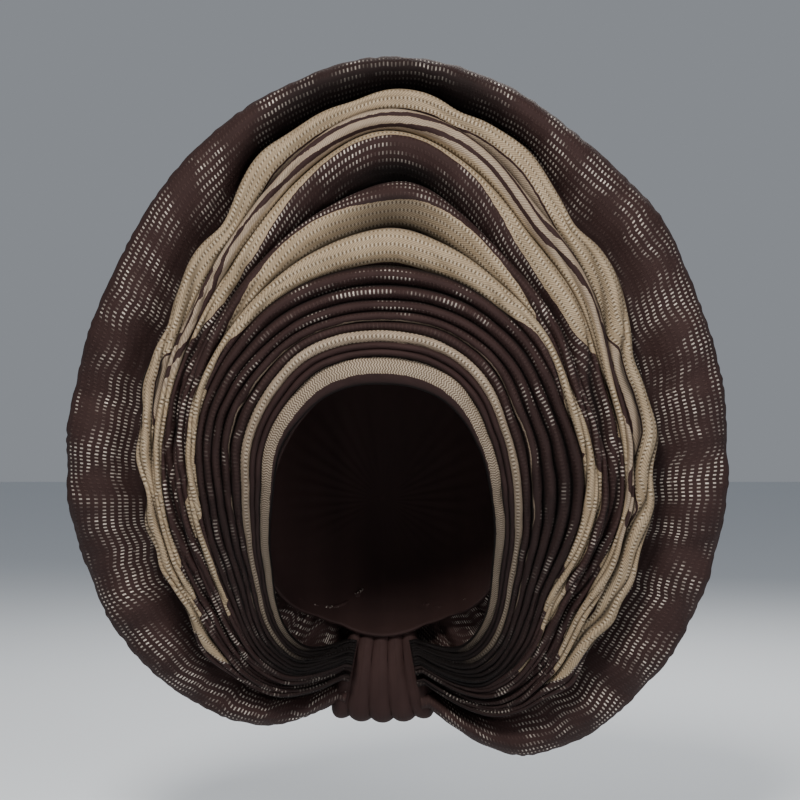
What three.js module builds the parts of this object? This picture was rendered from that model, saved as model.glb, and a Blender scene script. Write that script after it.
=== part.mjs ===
// A tied gele head tie, kept in its worn form. Millimetres, +Z up, +X to the viewer's right, the
// face opening looks along -Y. The origin is the inside top of the crown, where it sits on the head.
// Every fold is an arch round the face, described by an angle, 0 at the top and + to the right, and
// by a radius from the middle of the face opening, at the height of the eyes.
import * as THREE from "three";
import { mergeVertices } from "three/addons/utils/BufferGeometryUtils.js";

// Driving dimensions: the head that it fits, and the crown that covers it
const HEAD_HALF_WIDTH = 76;
const HEAD_HALF_DEPTH = 95;
const CROWN_HEIGHT = 112; // eyes to the top of the head
const NAPE_DROP = 100; // eyes to the hollow of the neck
const CROWN_WALL = 2;
const CROWN_SETBACK = 18; // from the crest of the hem back to the crown's front edge
const CROWN_LOW_Y = 60; // how far back the crown's edge lies at the nape

// The face opening and the brim
const FACE_INSET = 8; // the hem lies this much inside the head's half width
const OPENING_RADIUS = HEAD_HALF_WIDTH - FACE_INSET;
const BRIM_RADIUS = 200;
const HEM_FORWARD = 92; // hem at the forehead, in front of the head's axis
const BRIM_FORWARD = 50; // edge of the brim at the top, in front of the head's axis
const STACK_BULGE = 12; // the folds between hem and brim stand this much further forward

// The cloth and its folds
const FOLD_WALL = 1.4;
const BRIM_WALL = 1.6;
const GAP = 0.35; // between neighbouring folds
const SEAT_GAP = 0.8; // between a fold's legs and the crown or brim behind them
const LEG_DEPTH = 24; // how far a fold's two legs run back from its crest
const FOLD_RISE = 10; // unit for how far single folds stand forward
const VALLEY_DEPTH = 14; // the brim starts in a valley this deep behind its edge
const VALLEY_OUT = 2.5; // and this far outside the last fold
const ROLL_DEPTH = 10; // the brim swells forward by this much between valley and edge
const RUFFLE_DEPTH = 9;
const PEAK_WIDTH = 8; // degrees, the half width of a fold's gable point
const MOST_WALL = 0.35; // a narrow fold's wall is at most this share of its width
const MOST_CREST = 0.6; // and its crest this share of the depth that it has room for
const ROOF_FALL = 0.4; // the hollow in a narrow fold starts this share of the crest's depth down
const KNOT_DEPTH = 34;
const KNOT_IN = 84; // the knot's top and bottom, from the middle of the opening
const KNOT_OUT = 143;
const KNOT_AHEAD = 43; // the knot's front face lies this far before the back of the head
const KNOT_FRONT = HEAD_HALF_DEPTH - KNOT_AHEAD;
const KNOT_CLEAR = 0.3; // degrees between the ends of the folds and the knot

const DARK = new THREE.MeshStandardMaterial({ color: 0x33231f, roughness: 0.72, metalness: 0.05 });
const CREAM = new THREE.MeshStandardMaterial({ color: 0xb39d7d, roughness: 0.66, metalness: 0.1 });

// Where hem and brim run. at: degrees. open, rim: radius of hem and brim edge, as shares of
// OPENING_RADIUS and BRIM_RADIUS. hemY, rimY: their depth as shares of HEM_FORWARD and
// BRIM_FORWARD. rootY: where the brim leaves the crown, as a share of HEAD_HALF_DEPTH.
const AROUND = [
  { at: -167, open: 1.36, rim: 0.73, hemY: 0.54, rimY: 1.24, rootY: 0.84 },
  { at: -150, open: 1.55, rim: 0.82, hemY: 0.26, rimY: 0.7, rootY: 0.58 },
  { at: -120, open: 1.16, rim: 0.9, hemY: -0.33, rimY: -0.2, rootY: 0.22 },
  { at: -90, open: 0.97, rim: 0.945, hemY: -0.7, rimY: -0.7, rootY: 0.15 },
  { at: -60, open: 0.995, rim: 1.01, hemY: -0.85, rimY: -0.9, rootY: 0.13 },
  { at: -45, open: 1.0, rim: 1.085, hemY: -0.91, rimY: -0.96, rootY: 0.13 },
  { at: -30, open: 1.015, rim: 1.19, hemY: -0.96, rimY: -1, rootY: 0.13 },
  { at: -15, open: 1.01, rim: 1.265, hemY: -0.99, rimY: -1, rootY: 0.13 },
  { at: 0, open: 0.995, rim: 1.33, hemY: -1, rimY: -1, rootY: 0.13 },
  { at: 15, open: 1.0, rim: 1.29, hemY: -0.99, rimY: -1, rootY: 0.13 },
  { at: 30, open: 1.0, rim: 1.22, hemY: -0.96, rimY: -1, rootY: 0.13 },
  { at: 45, open: 0.975, rim: 1.18, hemY: -0.91, rimY: -0.96, rootY: 0.13 },
  { at: 60, open: 0.945, rim: 1.11, hemY: -0.85, rimY: -0.9, rootY: 0.13 },
  { at: 90, open: 0.953, rim: 1.03, hemY: -0.7, rimY: -0.7, rootY: 0.15 },
  { at: 120, open: 1.14, rim: 0.997, hemY: -0.33, rimY: -0.2, rootY: 0.22 },
  { at: 150, open: 1.55, rim: 0.935, hemY: 0.26, rimY: 0.7, rootY: 0.58 },
  { at: 167, open: 1.36, rim: 0.78, hemY: 0.54, rimY: 1.24, rootY: 0.84 },
];

// The folds from the face outwards. at gives each fold's outer border, as a share of the way from
// hem to brim edge: at both ends by the nape, and then at the angles of FOLD_ANGLES between them.
// peak: height of its gable point, a share of the same way. peakAt: degrees. forward: share of
// FOLD_RISE. crest: where its crest lies between its borders. round: depth of its crest as a share
// of its half width. leg: share of LEG_DEPTH. broad: a wide soft fold with a rounder section.
const FOLD_ANGLES = [-120, -90, -60, -30, 0, 30, 60, 90, 120];
const FOLDS = [
  { name: "hem_band", cloth: CREAM,
    at: [0.05, 0.05, 0.055, 0.07, 0.09, 0.08, 0.08, 0.05, 0.045, 0.045],
    peak: 0, peakAt: 0, forward: 0, crest: 0.5, round: 0.5, leg: 0.6, broad: false },
  { name: "pleat_1", cloth: DARK,
    at: [0.08, 0.07, 0.078, 0.097, 0.118, 0.105, 0.108, 0.073, 0.065, 0.068],
    peak: 0, peakAt: 0, forward: 0.1, crest: 0.5, round: 1.2, leg: 0.6, broad: false },
  { name: "pleat_2", cloth: DARK,
    at: [0.11, 0.09, 0.101, 0.125, 0.148, 0.13, 0.135, 0.096, 0.087, 0.09],
    peak: 0, peakAt: 0, forward: 0.15, crest: 0.5, round: 1.2, leg: 0.6, broad: false },
  { name: "stripe_pleat", cloth: CREAM,
    at: [0.15, 0.12, 0.14, 0.17, 0.187, 0.165, 0.17, 0.128, 0.12, 0.12],
    peak: 0, peakAt: 0, forward: 0.2, crest: 0.5, round: 0.9, leg: 0.7, broad: false },
  { name: "pleat_3", cloth: DARK,
    at: [0.19, 0.15, 0.183, 0.22, 0.216, 0.193, 0.205, 0.168, 0.163, 0.152],
    peak: 0, peakAt: 0, forward: 0.25, crest: 0.5, round: 1.1, leg: 0.8, broad: false },
  { name: "pleat_4", cloth: DARK,
    at: [0.23, 0.185, 0.225, 0.268, 0.25, 0.222, 0.236, 0.213, 0.208, 0.19],
    peak: 0, peakAt: 0, forward: 0.3, crest: 0.5, round: 1.1, leg: 0.9, broad: false },
  { name: "pleat_5", cloth: DARK,
    at: [0.27, 0.222, 0.265, 0.312, 0.285, 0.256, 0.272, 0.26, 0.265, 0.23],
    peak: 0, peakAt: 0, forward: 0.35, crest: 0.5, round: 1.1, leg: 0.9, broad: false },
  { name: "pleat_6", cloth: DARK,
    at: [0.31, 0.26, 0.305, 0.35, 0.327, 0.298, 0.314, 0.307, 0.325, 0.27],
    peak: 0, peakAt: 0, forward: 0.35, crest: 0.5, round: 1.1, leg: 1, broad: false },
  { name: "pleat_7", cloth: DARK,
    at: [0.35, 0.3, 0.345, 0.39, 0.38, 0.355, 0.357, 0.355, 0.383, 0.31],
    peak: 0, peakAt: 0, forward: 0.3, crest: 0.5, round: 1.1, leg: 1, broad: false },
  { name: "lower_cream_fold", cloth: CREAM,
    at: [0.4, 0.345, 0.388, 0.432, 0.43, 0.455, 0.42, 0.4, 0.435, 0.352],
    peak: 0.012, peakAt: 4, forward: 0.3, crest: 0.6, round: 0.9, leg: 1, broad: true },
  { name: "middle_fold", cloth: DARK,
    at: [0.46, 0.405, 0.445, 0.487, 0.51, 0.585, 0.495, 0.44, 0.485, 0.415],
    peak: 0.033, peakAt: 6, forward: 0.2, crest: 0.62, round: 0.85, leg: 1, broad: true },
  { name: "dark_peak_fold", cloth: DARK,
    at: [0.53, 0.475, 0.52, 0.545, 0.6, 0.765, 0.62, 0.535, 0.557, 0.483],
    peak: 0.01, peakAt: 1, forward: -0.2, crest: 0.78, round: 0.8, leg: 1, broad: true },
  { name: "inner_stripe_fold", cloth: CREAM,
    at: [0.57, 0.54, 0.575, 0.6, 0.655, 0.835, 0.7, 0.585, 0.61, 0.56],
    peak: 0, peakAt: 0, forward: 0.1, crest: 0.55, round: 0.9, leg: 0.9, broad: true },
  { name: "outer_stripe_fold", cloth: CREAM,
    at: [0.62, 0.625, 0.635, 0.69, 0.745, 0.9, 0.79, 0.7, 0.7, 0.67],
    peak: 0, peakAt: 0, forward: 0.2, crest: 0.6, round: 0.9, leg: 0.8, broad: true },
];

const NAPE_ANGLES = [-167, -150]; // the stretch at each end that keeps the nape's shares

// Angles of the arches' sections, closer together where the folds rise to their gable points
const STATIONS = [-167, -150, -135, -120, -105, -90, -75, -60, -45, -33, -22, -12, -4,
  5, 12, 22, 33, 45, 60, 75, 90, 105, 120, 135, 150, 167];

// Dips of the brim's edge. at, width: degrees. back: share of RUFFLE_DEPTH.
const RUFFLES = [
  { at: -137, width: 7, back: 0.7 },
  { at: -104, width: 8, back: 0.9 },
  { at: -72, width: 8, back: 0.8 },
  { at: 53, width: 9, back: 0.5 },
  { at: 80, width: 8, back: 0.7 },
  { at: 107, width: 8, back: 1 },
  { at: 138, width: 8, back: 0.9 },
];

// Sections of the brim. along: share of the way. back: y, 1 at the start of the stretch.
const BRIM_BACK = [
  { along: 0, back: 1 },
  { along: 0.3, back: 0.72 },
  { along: 0.66, back: 0.36 },
  { along: 1, back: 0 },
];
// From the valley to the edge. swell: share of ROLL_DEPTH forward. rest: share of VALLEY_DEPTH left.
const BRIM_FACE = [
  { along: 0.2, swell: 0.25, rest: 0.45 },
  { along: 0.45, swell: 0.8, rest: 0.1 },
  { along: 0.7, swell: 1, rest: 0 },
  { along: 0.9, swell: 0.6, rest: 0 },
  { along: 1, swell: 0, rest: 0 },
];

// Sections of the knot: its height and depth at each share of its width
const KNOT_STEPS = [
  { across: -1, size: 0.84 },
  { across: -0.6, size: 0.98 },
  { across: -0.2, size: 0.9 },
  { across: 0.2, size: 0.9 },
  { across: 0.6, size: 0.98 },
  { across: 1, size: 0.84 },
];
const KNOT_SIDES = 14;
const KNOT_SQUARE = 0.7; // 1 would make its section an ellipse, less makes it squarer

const MERGE_WITHIN = 1e-3;
const CROWN_RINGS = 8;
const TIGHT_TURNS = [90, 45, 0]; // degrees round half a narrow crest
const BROAD_TURNS = [90, 62, 32, 0]; // and round half a broad one
const LINING_TURNS = [90, 50, 0]; // inside a broad one

const rad = (degrees) => (degrees * Math.PI) / 180;
const mix = (a, b, t) => a + (b - a) * t;

// A smooth curve through (x, y) pairs, with the slope at each taken from its neighbours
function smooth(xs, ys) {
  const last = xs.length - 1;
  const slope = ys.map((_, i) => {
    const a = Math.max(i - 1, 0);
    const b = Math.min(i + 1, last);
    return (ys[b] - ys[a]) / (xs[b] - xs[a]);
  });
  return (x) => {
    let i = 0;
    while (i < last - 1 && x > xs[i + 1]) i += 1;
    const step = xs[i + 1] - xs[i];
    const t = Math.min(Math.max((x - xs[i]) / step, 0), 1);
    const s = 1 - t;
    return (
      ys[i] * (1 + 2 * t) * s * s + ys[i + 1] * (3 - 2 * t) * t * t +
      step * (slope[i] * t * s * s - slope[i + 1] * t * t * s)
    );
  };
}

const aroundAngles = AROUND.map((row) => row.at);
const around = (column, size) => {
  const read = smooth(aroundAngles, AROUND.map((row) => row[column]));
  return (phi) => size * read(phi);
};
const openRadius = around("open", OPENING_RADIUS);
const rimRadius = around("rim", BRIM_RADIUS);
const hemY = around("hemY", HEM_FORWARD);
const rimY = around("rimY", BRIM_FORWARD);
const rootY = around("rootY", HEAD_HALF_DEPTH);

// The head is an ellipsoid, longer upwards than downwards. Its radius in the plane through the ears
function headRadius(phi, wall) {
  const side = Math.sin(rad(phi)) / (HEAD_HALF_WIDTH + wall);
  const height = Math.cos(rad(phi)) > 0 ? CROWN_HEIGHT : NAPE_DROP;
  const up = Math.cos(rad(phi)) / (height + wall);
  return 1 / Math.hypot(side, up);
}

function headRadiusAt(phi, y, wall) {
  const depth = HEAD_HALF_DEPTH + wall;
  return headRadius(phi, wall) * Math.sqrt(Math.max(1 - (y / depth) ** 2, 0));
}

const crownEdgeY = (phi) => Math.min(hemY(phi) + CROWN_SETBACK, CROWN_LOW_Y);

function point(phi, r, y) {
  return new THREE.Vector3(r * Math.sin(rad(phi)), y, r * Math.cos(rad(phi)) - CROWN_HEIGHT);
}

// How far back a fold may reach at a radius before it meets the crown
function crownLimit(phi, r) {
  const edge = crownEdgeY(phi);
  const atEdge = headRadiusAt(phi, edge, CROWN_WALL);
  const widest = headRadius(phi, CROWN_WALL);
  if (edge < 0 && r > atEdge && r < widest + SEAT_GAP) {
    const share = Math.min(r / widest, 1);
    return -(HEAD_HALF_DEPTH + CROWN_WALL) * Math.sqrt(1 - share * share) - SEAT_GAP;
  }
  return r < atEdge + SEAT_GAP ? edge - SEAT_GAP : Infinity;
}

// The borders of the folds as radii
const foldShares = FOLDS.map((fold) => {
  const [nape, ...rest] = fold.at;
  const angles = [...NAPE_ANGLES, ...FOLD_ANGLES, ...NAPE_ANGLES.map((phi) => -phi).reverse()];
  const read = smooth(angles, [nape, nape, ...rest, nape, nape]);
  return (phi) =>
    read(phi) + fold.peak * Math.exp(-(((phi - fold.peakAt) / PEAK_WIDTH) ** 2));
});

function border(index, phi) {
  const share = index < 0 ? 0 : foldShares[index](phi);
  return mix(openRadius(phi), rimRadius(phi), share);
}

// The front of the brim at one angle, from the crown out to its edge, as (radius, y) pairs
function brimFront(phi) {
  const back = rootY(phi);
  const start = headRadiusAt(phi, back, CROWN_WALL) + SEAT_GAP;
  const valley = border(FOLDS.length - 1, phi) + VALLEY_OUT;
  const valleyY = rimY(phi) + VALLEY_DEPTH;
  const dip = RUFFLES.reduce(
    (sum, row) => sum + row.back * Math.exp(-(((phi - row.at) / row.width) ** 2)), 0);
  const inside = BRIM_BACK.map((row) => [
    mix(start, valley, row.along),
    mix(valleyY, back, row.back),
  ]);
  const outside = BRIM_FACE.map((row) => [
    mix(valley, rimRadius(phi), row.along),
    rimY(phi) + row.rest * VALLEY_DEPTH - row.swell * ROLL_DEPTH + dip * RUFFLE_DEPTH * row.along,
  ]);
  return [...inside, ...outside];
}

function brimLimit(phi, r) {
  const line = brimFront(phi).slice(0, BRIM_BACK.length);
  let i = 0;
  while (i < line.length - 2 && r > line[i + 1][0]) i += 1;
  const t = Math.max((r - line[i][0]) / (line[i + 1][0] - line[i][0]), 0);
  return mix(line[i][1], line[i + 1][1], t) - SEAT_GAP;
}

// One section of a fold: a round crest with two legs, as (radius, y) pairs round a closed loop
function foldSection(index, phi) {
  const fold = FOLDS[index];
  const inner = border(index - 1, phi) + GAP / 2;
  const outer = border(index, phi) - GAP / 2;
  const width = outer - inner;
  const wall = Math.min(FOLD_WALL, MOST_WALL * width);
  const middle = mix(inner, outer, fold.crest);
  const share = (middle - openRadius(phi)) / (rimRadius(phi) - openRadius(phi));
  const envelope = mix(hemY(phi), rimY(phi), share) - 4 * STACK_BULGE * share * (1 - share);
  const crestY = envelope - fold.forward * FOLD_RISE;
  const ends = [inner, outer].map((r) =>
    Math.min(crestY + fold.leg * LEG_DEPTH, crownLimit(phi, r), brimLimit(phi, r)));
  const room = Math.min(...ends) - crestY;
  const depth = Math.min((fold.round * width) / 2, MOST_CREST * room);
  const turns = fold.broad ? BROAD_TURNS : TIGHT_TURNS;
  const curve = (angles, low, high, lift) => {
    const arm = (angle, end) => [
      mix(middle, end, Math.sin(rad(angle))),
      crestY + lift + depth * (1 - Math.cos(rad(angle))),
    ];
    const down = angles.map((angle) => arm(angle, low));
    const up = [...angles].reverse().slice(1).map((angle) => arm(angle, high));
    return [...down, ...up];
  };
  const skin = [[inner, ends[0]], ...curve(turns, inner, outer, 0), [outer, ends[1]]];
  const roof = fold.broad
    ? curve(LINING_TURNS, inner + wall, outer - wall, wall)
    : [[middle, crestY + wall + ROOF_FALL * depth]];
  const lining = [[inner + wall, ends[0]], ...roof, [outer - wall, ends[1]]];
  return [...skin, ...lining.reverse()];
}

// The brim's section: its front, then the same line moved back by the thickness of the cloth
function brimSection(phi) {
  const front = brimFront(phi);
  const back = front.map(([r, y], i) => {
    const [r0, y0] = front[Math.max(i - 1, 0)];
    const [r1, y1] = front[Math.min(i + 1, front.length - 1)];
    const length = Math.hypot(r1 - r0, y1 - y0);
    return [r - ((y1 - y0) / length) * BRIM_WALL, y + ((r1 - r0) / length) * BRIM_WALL];
  });
  return [...front, ...back.reverse()];
}

function knotSection(step) {
  const middle = (KNOT_IN + KNOT_OUT) / 2;
  return Array.from({ length: KNOT_SIDES }, (_, i) => {
    const angle = (2 * Math.PI * i) / KNOT_SIDES;
    const square = (value) => Math.sign(value) * Math.abs(value) ** KNOT_SQUARE;
    return [
      middle + (step.size * (KNOT_OUT - KNOT_IN) * square(Math.cos(angle))) / 2,
      KNOT_FRONT + (KNOT_DEPTH * (1 + step.size * square(Math.sin(angle)))) / 2,
    ];
  });
}

// A closed body from triangles over shared corners, turned so that its faces point out
function body(corners, triangles) {
  let volume = 0;
  for (const [a, b, c] of triangles) {
    volume += corners[a].dot(new THREE.Vector3().crossVectors(corners[b], corners[c]));
  }
  const outward = volume > 0 ? triangles : triangles.map(([a, b, c]) => [a, c, b]);
  const geometry = new THREE.BufferGeometry();
  const places = corners.flatMap((corner) => corner.toArray());
  geometry.setAttribute("position", new THREE.Float32BufferAttribute(places, 3));
  geometry.setIndex(outward.flat());
  const merged = mergeVertices(geometry, MERGE_WITHIN);
  const index = [...merged.index.array];
  const kept = [];
  for (let i = 0; i < index.length; i += 3) {
    const [a, b, c] = index.slice(i, i + 3);
    if (a !== b && b !== c && c !== a) kept.push(a, b, c);
  }
  merged.setIndex(kept);
  merged.computeVertexNormals();
  return merged;
}

// Joins sections, one after another, into a body. Each is a closed loop of (radius, y) pairs.
function sweep(angles, sections) {
  const count = sections[0].length;
  const corners = sections.flatMap((loop, i) => loop.map(([r, y]) => point(angles[i], r, y)));
  const triangles = [];
  for (let i = 0; i + 1 < sections.length; i += 1) {
    for (let j = 0; j < count; j += 1) {
      const k = (j + 1) % count;
      const here = i * count;
      const next = here + count;
      triangles.push([here + j, here + k, next + k], [here + j, next + k, next + j]);
    }
  }
  const cap = (i, flip) => {
    const loop = sections[i].map(([r, y]) => new THREE.Vector2(r, y));
    const turned = THREE.ShapeUtils.isClockWise(loop);
    for (const face of THREE.ShapeUtils.triangulateShape(loop, [])) {
      const [a, b, c] = face.map((j) => i * count + j);
      triangles.push(flip === turned ? [a, b, c] : [a, c, b]);
    }
  };
  const clockwise = THREE.ShapeUtils.isClockWise(sections[0].map(([r, y]) => new THREE.Vector2(r, y)));
  cap(0, !clockwise);
  cap(sections.length - 1, clockwise);
  return body(corners, triangles);
}

function mesh(name, geometry, material) {
  const part = new THREE.Mesh(geometry, material.clone());
  part.name = name;
  return part;
}

// The crown: a bonnet over the head, open at the face and the neck, and closed at the back
function crown() {
  const angles = [...STATIONS, 180];
  const corners = [];
  const triangles = [];
  const count = 2 * CROWN_RINGS + 2;
  for (const phi of angles) {
    const shell = (wall) => {
      const depth = HEAD_HALF_DEPTH + wall;
      const first = Math.acos(-crownEdgeY(phi) / depth);
      return Array.from({ length: CROWN_RINGS + 1 }, (_, i) => {
        const turn = mix(first, Math.PI, i / CROWN_RINGS);
        return point(phi, headRadius(phi, wall) * Math.sin(turn), -depth * Math.cos(turn));
      });
    };
    corners.push(...shell(CROWN_WALL).reverse(), ...shell(0));
  }
  for (let i = 0; i < angles.length; i += 1) {
    const here = i * count;
    const next = ((i + 1) % angles.length) * count;
    for (let j = 0; j + 1 < count; j += 1) {
      triangles.push([here + j, here + j + 1, next + j + 1], [here + j, next + j + 1, next + j]);
    }
  }
  return mesh("crown", body(corners, triangles), DARK);
}

function fold(index) {
  const sections = STATIONS.map((phi) => foldSection(index, phi));
  return mesh(FOLDS[index].name, sweep(STATIONS, sections), FOLDS[index].cloth);
}

// The brim has a section between each two of the folds' sections too
function brim() {
  const angles = STATIONS.flatMap((phi, i) => (i ? [(STATIONS[i - 1] + phi) / 2, phi] : [phi]));
  return mesh("brim", sweep(angles, angles.map(brimSection)), DARK);
}

function knot() {
  const half = 180 - STATIONS[STATIONS.length - 1] - KNOT_CLEAR;
  const angles = KNOT_STEPS.map((step) => 180 + half * step.across);
  return mesh("back_knot", sweep(angles, KNOT_STEPS.map(knotSection)), DARK);
}

const gele = new THREE.Group();
gele.name = "gele";
gele.add(crown(), ...FOLDS.map((_, index) => fold(index)), brim(), knot());

export default gele;
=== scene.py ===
"""A tied gele head tie of striped hand-woven cloth, kept in its worn form.

Metres, +Z up, the front opening looks along -Y. The origin is the inside top of the crown. Every fold
is an arch round the opening: a point has an angle phi, 0 at the top and + to the viewer's right, a
radius from the middle of the opening, and a depth y.
"""

import math

import bpy
import numpy as np
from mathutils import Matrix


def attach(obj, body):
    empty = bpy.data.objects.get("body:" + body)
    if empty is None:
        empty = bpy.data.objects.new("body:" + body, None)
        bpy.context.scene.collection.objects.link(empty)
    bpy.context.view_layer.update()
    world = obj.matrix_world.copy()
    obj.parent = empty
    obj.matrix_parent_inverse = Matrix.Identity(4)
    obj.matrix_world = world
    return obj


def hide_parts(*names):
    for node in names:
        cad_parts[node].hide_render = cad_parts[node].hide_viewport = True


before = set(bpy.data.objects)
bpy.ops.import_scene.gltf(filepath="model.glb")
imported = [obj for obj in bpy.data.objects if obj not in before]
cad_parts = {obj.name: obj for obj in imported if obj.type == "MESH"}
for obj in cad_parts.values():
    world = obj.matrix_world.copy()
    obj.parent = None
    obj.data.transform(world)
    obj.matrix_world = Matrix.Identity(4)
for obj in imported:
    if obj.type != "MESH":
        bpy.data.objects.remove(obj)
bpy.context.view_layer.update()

# The hollow, the opening and the brim, as in the solids
HEAD_HALF_WIDTH = 0.076
HEAD_HALF_DEPTH = 0.095
CROWN_HEIGHT = 0.112
NAPE_DROP = 0.100
CROWN_WALL = 0.002
CROWN_SETBACK = 0.018
CROWN_LOW_Y = 0.060
OPENING_RADIUS = 0.068
BRIM_RADIUS = 0.200
HEM_FORWARD = 0.092
BRIM_FORWARD = 0.050
STACK_BULGE = 0.012

# The tie sits a little tilted: its front is higher than its back, and further right, by these
# shares of the depth
FRONT_RISE = 0.0477
FRONT_ASIDE = 0.0081

# The cloth's thickness, the room between its layers, and the depths and places of its folds
CLOTH = 0.0009
BRIM_CLOTH = 0.0012
KNOT_CLOTH = 0.001
GAP = 0.0008
SEAT_GAP = 0.0012
LEG_DEPTH = 0.020
FOLD_RISE = 0.010
VALLEY_DEPTH = 0.014
VALLEY_OUT = 0.0012
ROLL_DEPTH = 0.010
RUFFLE_DEPTH = 0.016
KNOT_DEPTH = 0.034
KNOT_IN = 0.084
KNOT_OUT = 0.143
KNOT_FRONT = 0.052
CROWN_NAPE_FORWARD = 0.009

# Angles in degrees: the gable's point and widths, how far one small fold takes to run across, and
# where the folds end and where their cloth does, inside the knot
GABLE_AT = 3
PEAK_WIDTH = 8
CAVITY_WIDTH = 13
GLEAM_WIDTH = 16
RIPPLE_TURN = 28
END_ANGLE = 167
TUCKED = 169.5
# Where something begins, counted from the top to both sides, and over how many degrees it grows
SIDES = (25, 35)
WAVER_SIDES = (35, 40)
NARROW_SIDES = (35, 55)
RUFFLED_SIDES = (15, 35)
VALLEY_SIDES = (12, 26)
ROOT_SIDES = (12, 14)
NAPE = (133, 26)
CROWN_NAPE = (150, 12)

# How uneven the cloth lies, in metres, and how strong the soft furrows are beside the small folds
BORDER_WAVER = 0.0003
CREST_WAVER = 0.0014
FINE_CREASES = 0.0004
BRIM_WAVES = 0.0036
BRIM_CREASES = 0.0006
BRIM_GATHERS = 0.0022
EDGE_FRAY = 0.0005
CROWN_GATHERS = 0.0012
CROWN_CREASES = 0.0016
FURROW_SHARE = 0.45

# Rows round and columns across each surface: a fold has twice its columns plus one, and its legs
BROAD_GRID = (520, 20)
NARROW_GRID = (440, 8)
LEG_COLUMNS = 3
BRIM_GRID = (900, 48)
CROWN_GRID = (240, 60)
KNOT_GRID = (81, 73)

# The weave, along a row (u) and across the rows (v)
DASH_PITCH = 0.0024
ROW_PITCH = 0.0046
FINE_PITCH = 0.0034
FINE_FROM = 0.297
THREAD = 0.0007
TWILL_PITCH = 0.0013
STRAY = 0.0012

# Where hem and brim run, in the same shares as the solids: at, open, rim, hem y, rim y, root y
AROUND = np.array([
    (-167, 1.36, 0.67, 0.54, 1.24, 0.84),
    (-150, 1.55, 0.82, 0.26, 0.7, 0.58),
    (-120, 1.16, 0.9, -0.33, -0.2, 0.22),
    (-90, 0.97, 0.945, -0.7, -0.7, 0.15),
    (-60, 0.995, 1.01, -0.85, -0.9, 0.13),
    (-45, 1.0, 1.075, -0.91, -0.96, 0.13),
    (-30, 1.015, 1.17, -0.96, -1, 0.13),
    (-15, 1.01, 1.255, -0.99, -1, 0.13),
    (0, 0.995, 1.315, -1, -1, 0.13),
    (15, 1.0, 1.29, -0.99, -1, 0.13),
    (30, 1.0, 1.22, -0.96, -1, 0.13),
    (45, 0.975, 1.18, -0.91, -0.96, 0.13),
    (60, 0.945, 1.11, -0.85, -0.9, 0.13),
    (90, 0.953, 1.03, -0.7, -0.7, 0.15),
    (120, 1.14, 0.997, -0.33, -0.2, 0.22),
    (150, 1.55, 0.935, 0.26, 0.7, 0.58),
    (167, 1.36, 0.69, 0.54, 1.24, 0.84),
])

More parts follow.
